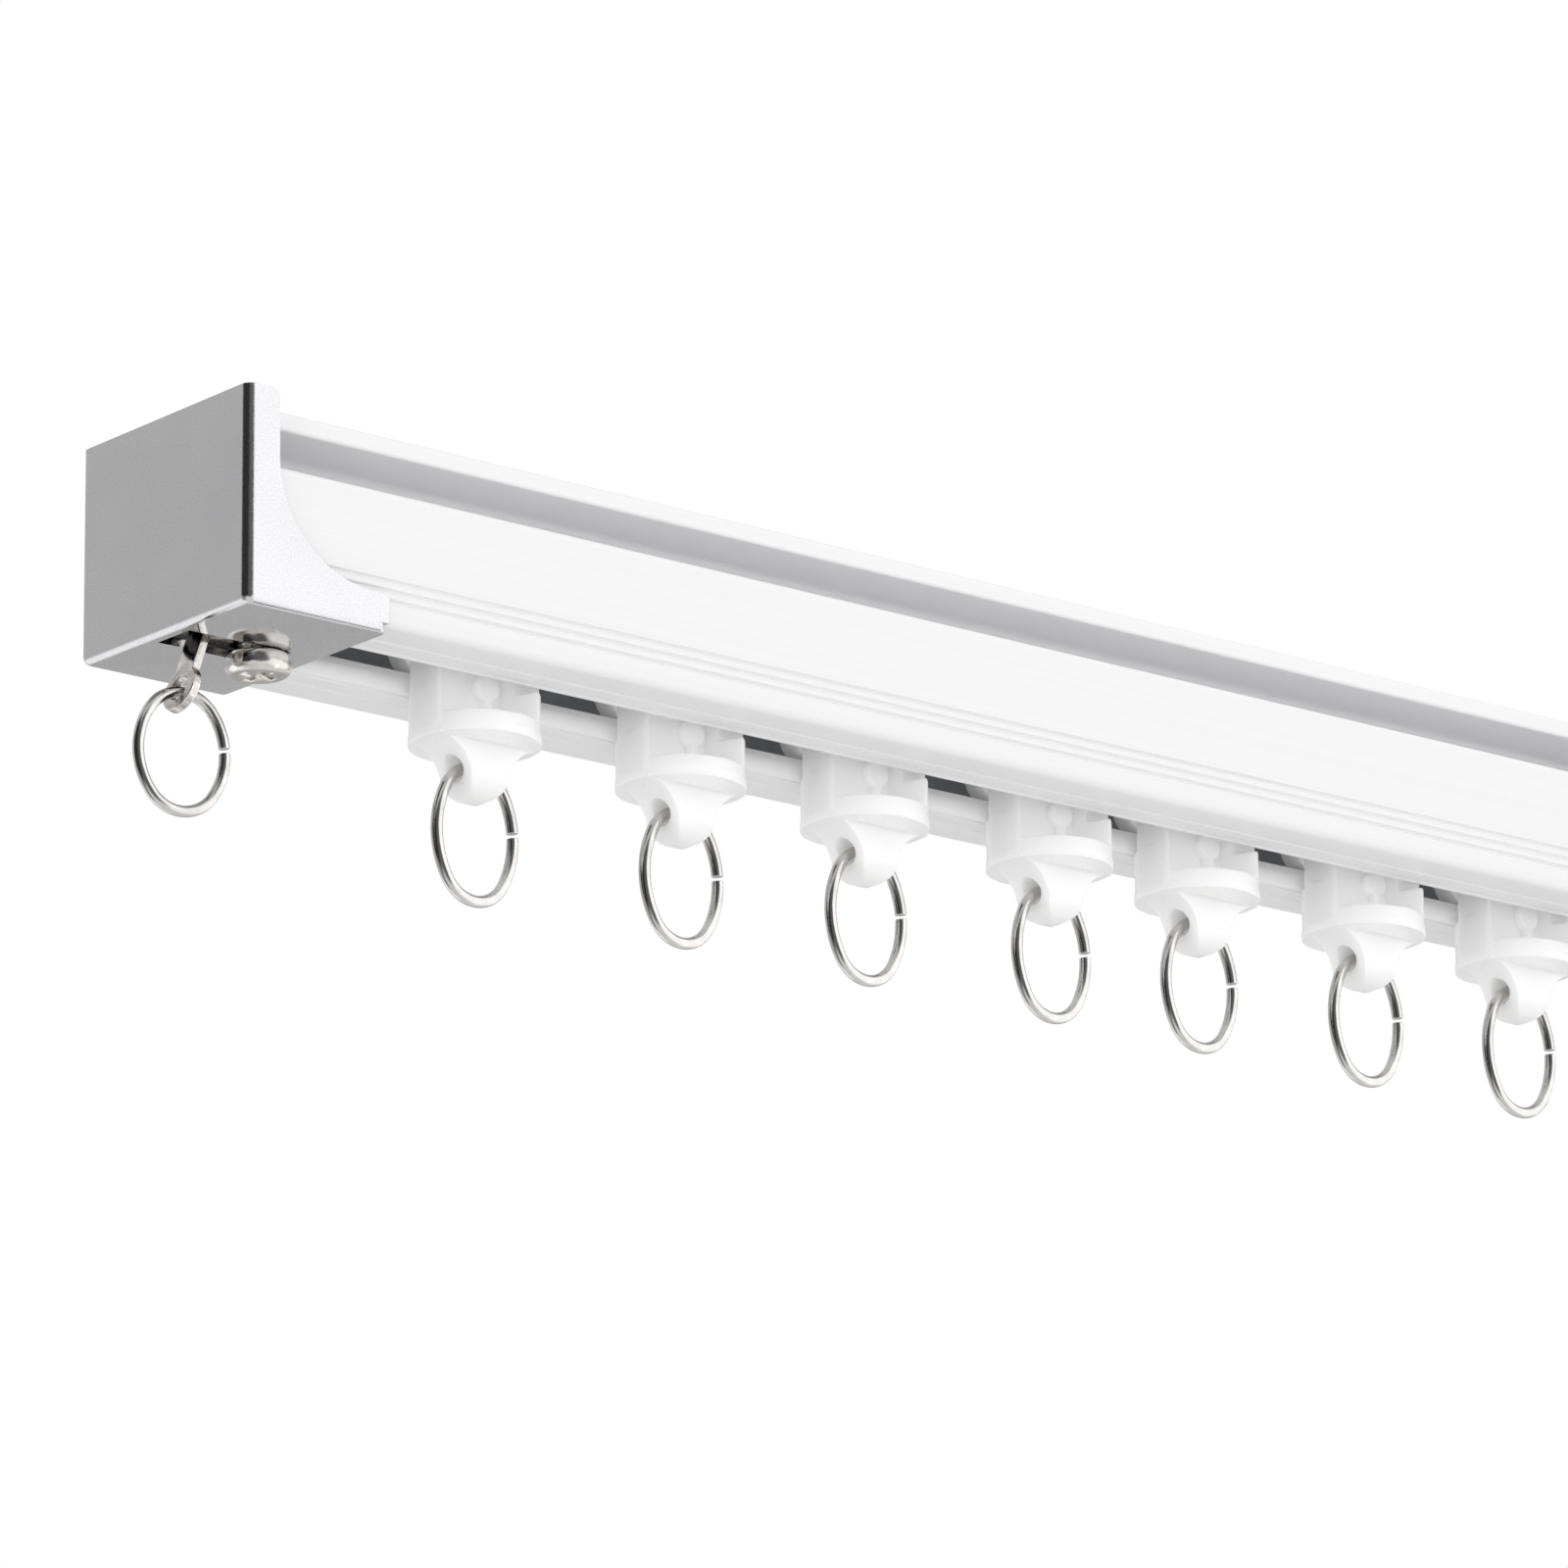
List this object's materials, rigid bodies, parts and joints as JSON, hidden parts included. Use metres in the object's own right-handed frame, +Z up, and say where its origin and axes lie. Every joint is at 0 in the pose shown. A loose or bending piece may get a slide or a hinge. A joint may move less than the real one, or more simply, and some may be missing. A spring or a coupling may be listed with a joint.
{
  "type": "curtain track",
  "caption": "Ceiling curtain track: slotted I-section rail with running ring carriers, plated eyelet end caps, lever brackets, an S hook and a spring clip.",
  "frame": {"origin": "mid-length of the track in the ceiling plane, midway between the two bracket screw holes", "axes": "+X along the track, away from the carriers' parking end; +Z up into the ceiling; +Y across the track, away from the bracket levers' tails"},
  "size_m": [0.6065, 0.0431, 0.0947],
  "materials": {
    "track_paint": "satin white powder coat on aluminium",
    "plated_sheet": "satin nickel-plated pressed steel",
    "plated_fitting": "nickel-plated, slightly worn",
    "ring_steel": "polished nickel-plated wire",
    "hook_steel": "bright drawn wire",
    "clip_steel": "bright zinc-plated sheet",
    "zinc_steel": "zinc-plated steel",
    "nylon": "milky translucent moulded nylon",
    "wheel_nylon": "white moulded nylon"
  },
  "bodies": {
    "track": {"track": "track_paint", "end_cap_left": "plated_sheet", "eyelet_tongue_left": "plated_fitting", "cap_screw_left": "plated_fitting", "clamp_nut_left": "zinc_steel", "bracket_plate_left": "zinc_steel", "bracket_rivet_left": "zinc_steel", "end_cap_right": "plated_sheet", "eyelet_tongue_right": "plated_fitting", "cap_screw_right": "plated_fitting", "clamp_nut_right": "zinc_steel", "bracket_plate_right": "zinc_steel", "bracket_rivet_right": "zinc_steel"},
    "carrier_1": {"carrier_1_body": "nylon"},
    "carrier_1_ring": {"carrier_1_ring": "ring_steel"},
    "carrier_1_front_wheels": {"carrier_1_front_wheels": "wheel_nylon"},
    "carrier_1_rear_wheels": {"carrier_1_rear_wheels": "wheel_nylon"},
    "carrier_2": {"carrier_2_body": "nylon"},
    "carrier_2_ring": {"carrier_2_ring": "ring_steel"},
    "carrier_2_front_wheels": {"carrier_2_front_wheels": "wheel_nylon"},
    "carrier_2_rear_wheels": {"carrier_2_rear_wheels": "wheel_nylon"},
    "carrier_3": {"carrier_3_body": "nylon"},
    "carrier_3_ring": {"carrier_3_ring": "ring_steel"},
    "carrier_3_front_wheels": {"carrier_3_front_wheels": "wheel_nylon"},
    "carrier_3_rear_wheels": {"carrier_3_rear_wheels": "wheel_nylon"},
    "carrier_4": {"carrier_4_body": "nylon"},
    "carrier_4_ring": {"carrier_4_ring": "ring_steel"},
    "carrier_4_front_wheels": {"carrier_4_front_wheels": "wheel_nylon"},
    "carrier_4_rear_wheels": {"carrier_4_rear_wheels": "wheel_nylon"},
    "carrier_5": {"carrier_5_body": "nylon"},
    "carrier_5_ring": {"carrier_5_ring": "ring_steel"},
    "carrier_5_front_wheels": {"carrier_5_front_wheels": "wheel_nylon"},
    "carrier_5_rear_wheels": {"carrier_5_rear_wheels": "wheel_nylon"},
    "carrier_6": {"carrier_6_body": "nylon"},
    "carrier_6_ring": {"carrier_6_ring": "ring_steel"},
    "carrier_6_front_wheels": {"carrier_6_front_wheels": "wheel_nylon"},
    "carrier_6_rear_wheels": {"carrier_6_rear_wheels": "wheel_nylon"},
    "carrier_7": {"carrier_7_body": "nylon"},
    "carrier_7_ring": {"carrier_7_ring": "ring_steel"},
    "carrier_7_front_wheels": {"carrier_7_front_wheels": "wheel_nylon"},
    "carrier_7_rear_wheels": {"carrier_7_rear_wheels": "wheel_nylon"},
    "carrier_8": {"carrier_8_body": "nylon"},
    "carrier_8_ring": {"carrier_8_ring": "ring_steel"},
    "carrier_8_front_wheels": {"carrier_8_front_wheels": "wheel_nylon"},
    "carrier_8_rear_wheels": {"carrier_8_rear_wheels": "wheel_nylon"},
    "end_ring_left": {"end_ring_left": "ring_steel"},
    "end_ring_right": {"end_ring_right": "ring_steel"},
    "bracket_lever_left": {"bracket_lever_left": "zinc_steel"},
    "bracket_lever_right": {"bracket_lever_right": "zinc_steel"},
    "s_hook": {"s_hook": "hook_steel"},
    "clip_hook": {"clip_hook": "hook_steel"},
    "clip": {"clip_jaw_fixed": "clip_steel", "clip_rivet": "clip_steel", "clip_spring": "hook_steel"},
    "clip_jaw": {"clip_jaw_moving": "clip_steel"}
  },
  "joints": [
    {"name": "carrier_1_slide", "type": "slide", "parent": "track", "child": "carrier_1", "axis": [1, 0, 0], "range_m": [-0.01535, 0.044]},
    {"name": "carrier_2_slide", "type": "slide", "parent": "carrier_1", "child": "carrier_2", "axis": [1, 0, 0], "range_m": [-0.0137, 0.044]},
    {"name": "carrier_3_slide", "type": "slide", "parent": "carrier_2", "child": "carrier_3", "axis": [1, 0, 0], "range_m": [-0.0116, 0.044]},
    {"name": "carrier_4_slide", "type": "slide", "parent": "carrier_3", "child": "carrier_4", "axis": [1, 0, 0], "range_m": [-0.0126, 0.044]},
    {"name": "carrier_5_slide", "type": "slide", "parent": "carrier_4", "child": "carrier_5", "axis": [1, 0, 0], "range_m": [-0.0078, 0.044]},
    {"name": "carrier_6_slide", "type": "slide", "parent": "carrier_5", "child": "carrier_6", "axis": [1, 0, 0], "range_m": [-0.0114, 0.044]},
    {"name": "carrier_7_slide", "type": "slide", "parent": "carrier_6", "child": "carrier_7", "axis": [1, 0, 0], "range_m": [-0.01, 0.044]},
    {"name": "carrier_8_slide", "type": "slide", "parent": "carrier_7", "child": "carrier_8", "axis": [1, 0, 0], "range_m": [-0.0107, 0.044]},
    {"name": "carrier_1_ring_swing", "type": "hinge", "parent": "carrier_1", "child": "carrier_1_ring", "pos_m": [-0.2587, 0, -0.03375], "axis": [1, 0, 0], "range_deg": [-60, 60]},
    {"name": "carrier_2_ring_swing", "type": "hinge", "parent": "carrier_2", "child": "carrier_2_ring", "pos_m": [-0.2303, 0, -0.03375], "axis": [1, 0, 0], "range_deg": [-60, 60]},
    {"name": "carrier_3_ring_swing", "type": "hinge", "parent": "carrier_3", "child": "carrier_3_ring", "pos_m": [-0.204, 0, -0.03375], "axis": [1, 0, 0], "range_deg": [-60, 60]},
    {"name": "carrier_4_ring_swing", "type": "hinge", "parent": "carrier_4", "child": "carrier_4_ring", "pos_m": [-0.1767, 0, -0.03375], "axis": [1, 0, 0], "range_deg": [-60, 60]},
    {"name": "carrier_5_ring_swing", "type": "hinge", "parent": "carrier_5", "child": "carrier_5_ring", "pos_m": [-0.1542, 0, -0.03375], "axis": [1, 0, 0], "range_deg": [-60, 60]},
    {"name": "carrier_6_ring_swing", "type": "hinge", "parent": "carrier_6", "child": "carrier_6_ring", "pos_m": [-0.1281, 0, -0.03375], "axis": [1, 0, 0], "range_deg": [-60, 60]},
    {"name": "carrier_7_ring_swing", "type": "hinge", "parent": "carrier_7", "child": "carrier_7_ring", "pos_m": [-0.1034, 0, -0.03375], "axis": [1, 0, 0], "range_deg": [-60, 60]},
    {"name": "carrier_8_ring_swing", "type": "hinge", "parent": "carrier_8", "child": "carrier_8_ring", "pos_m": [-0.078, 0, -0.03375], "axis": [1, 0, 0], "range_deg": [-60, 60]},
    {"name": "end_ring_left_swing", "type": "hinge", "parent": "track", "child": "end_ring_left", "pos_m": [-0.29731, 0, -0.0315], "axis": [0.9848, -0.1736, 0], "range_deg": [-60, 60]},
    {"name": "end_ring_right_swing", "type": "hinge", "parent": "track", "child": "end_ring_right", "pos_m": [0.29731, 0, -0.0315], "axis": [0.9848, -0.1736, 0], "range_deg": [-60, 60]},
    {"name": "bracket_lever_left_swivel", "type": "hinge", "parent": "track", "child": "bracket_lever_left", "pos_m": [-0.075, -0.0126, -0.0048], "axis": [0, 0, 1], "range_deg": [0, 100]},
    {"name": "bracket_lever_right_swivel", "type": "hinge", "parent": "track", "child": "bracket_lever_right", "pos_m": [0.075, -0.0126, -0.0048], "axis": [0, 0, 1], "range_deg": [0, 100]},
    {"name": "s_hook_swing", "type": "hinge", "parent": "carrier_8_ring", "child": "s_hook", "pos_m": [-0.078, 0, -0.04804], "axis": [1, 0, 0], "range_deg": [-45, 45]},
    {"name": "clip_hook_swing", "type": "hinge", "parent": "end_ring_right", "child": "clip_hook", "pos_m": [0.29731, 0, -0.0447], "axis": [0.9848, -0.1736, 0], "range_deg": [-45, 45]},
    {"name": "clip_pivot", "type": "hinge", "parent": "clip_hook", "child": "clip", "pos_m": [0.29731, 0, -0.07693], "axis": [0.9848, -0.1736, 0], "range_deg": [-40, 12]},
    {"name": "clip_jaw_open", "type": "hinge", "parent": "clip", "child": "clip_jaw", "pos_m": [0.29731, 0, -0.07693], "axis": [-0.9848, 0.1736, 0], "range_deg": [0, 25], "stiffness_Nm_per_rad": 0.05, "springref_deg": -34.38, "deforming": ["clip_spring"]},
    {"name": "carrier_1_front_roll", "type": "hinge", "parent": "carrier_1", "child": "carrier_1_front_wheels", "pos_m": [-0.26245, 0, -0.0194], "axis": [0, 1, 0], "continuous": true},
    {"name": "carrier_1_rear_roll", "type": "hinge", "parent": "carrier_1", "child": "carrier_1_rear_wheels", "pos_m": [-0.25495, 0, -0.0194], "axis": [0, 1, 0], "continuous": true},
    {"name": "carrier_2_front_roll", "type": "hinge", "parent": "carrier_2", "child": "carrier_2_front_wheels", "pos_m": [-0.23405, 0, -0.0194], "axis": [0, 1, 0], "continuous": true},
    {"name": "carrier_2_rear_roll", "type": "hinge", "parent": "carrier_2", "child": "carrier_2_rear_wheels", "pos_m": [-0.22655, 0, -0.0194], "axis": [0, 1, 0], "continuous": true},
    {"name": "carrier_3_front_roll", "type": "hinge", "parent": "carrier_3", "child": "carrier_3_front_wheels", "pos_m": [-0.20775, 0, -0.0194], "axis": [0, 1, 0], "continuous": true},
    {"name": "carrier_3_rear_roll", "type": "hinge", "parent": "carrier_3", "child": "carrier_3_rear_wheels", "pos_m": [-0.20025, 0, -0.0194], "axis": [0, 1, 0], "continuous": true},
    {"name": "carrier_4_front_roll", "type": "hinge", "parent": "carrier_4", "child": "carrier_4_front_wheels", "pos_m": [-0.18045, 0, -0.0194], "axis": [0, 1, 0], "continuous": true},
    {"name": "carrier_4_rear_roll", "type": "hinge", "parent": "carrier_4", "child": "carrier_4_rear_wheels", "pos_m": [-0.17295, 0, -0.0194], "axis": [0, 1, 0], "continuous": true},
    {"name": "carrier_5_front_roll", "type": "hinge", "parent": "carrier_5", "child": "carrier_5_front_wheels", "pos_m": [-0.15795, 0, -0.0194], "axis": [0, 1, 0], "continuous": true},
    {"name": "carrier_5_rear_roll", "type": "hinge", "parent": "carrier_5", "child": "carrier_5_rear_wheels", "pos_m": [-0.15045, 0, -0.0194], "axis": [0, 1, 0], "continuous": true},
    {"name": "carrier_6_front_roll", "type": "hinge", "parent": "carrier_6", "child": "carrier_6_front_wheels", "pos_m": [-0.13185, 0, -0.0194], "axis": [0, 1, 0], "continuous": true},
    {"name": "carrier_6_rear_roll", "type": "hinge", "parent": "carrier_6", "child": "carrier_6_rear_wheels", "pos_m": [-0.12435, 0, -0.0194], "axis": [0, 1, 0], "continuous": true},
    {"name": "carrier_7_front_roll", "type": "hinge", "parent": "carrier_7", "child": "carrier_7_front_wheels", "pos_m": [-0.10715, 0, -0.0194], "axis": [0, 1, 0], "continuous": true},
    {"name": "carrier_7_rear_roll", "type": "hinge", "parent": "carrier_7", "child": "carrier_7_rear_wheels", "pos_m": [-0.09965, 0, -0.0194], "axis": [0, 1, 0], "continuous": true},
    {"name": "carrier_8_front_roll", "type": "hinge", "parent": "carrier_8", "child": "carrier_8_front_wheels", "pos_m": [-0.08175, 0, -0.0194], "axis": [0, 1, 0], "continuous": true},
    {"name": "carrier_8_rear_roll", "type": "hinge", "parent": "carrier_8", "child": "carrier_8_rear_wheels", "pos_m": [-0.07425, 0, -0.0194], "axis": [0, 1, 0], "continuous": true}
  ]
}
